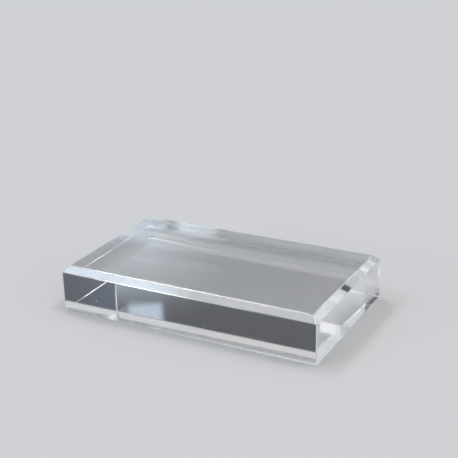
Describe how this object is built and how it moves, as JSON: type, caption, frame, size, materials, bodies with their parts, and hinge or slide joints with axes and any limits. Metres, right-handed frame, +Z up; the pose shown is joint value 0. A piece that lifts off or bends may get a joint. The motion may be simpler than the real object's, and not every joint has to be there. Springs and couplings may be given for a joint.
{
  "type": "acrylic display block",
  "caption": "Solid clear acrylic slab, polished all over, with a flat bevel along its top edges; it lies flat and lifts a small display piece off the shelf.",
  "frame": {"origin": "middle of the underside, on the surface that the block lies on", "axes": "+X along the length, +Y from the long front face to the back, +Z up through the bevelled top face"},
  "size_m": [0.145, 0.085, 0.025],
  "materials": {
    "clear_acrylic": "clear cast acrylic, flame and buff polished on every face, colourless with a faint cool tint along its edges"
  },
  "bodies": {
    "root": {"acrylic_block": "clear_acrylic"}
  },
  "joints": []
}
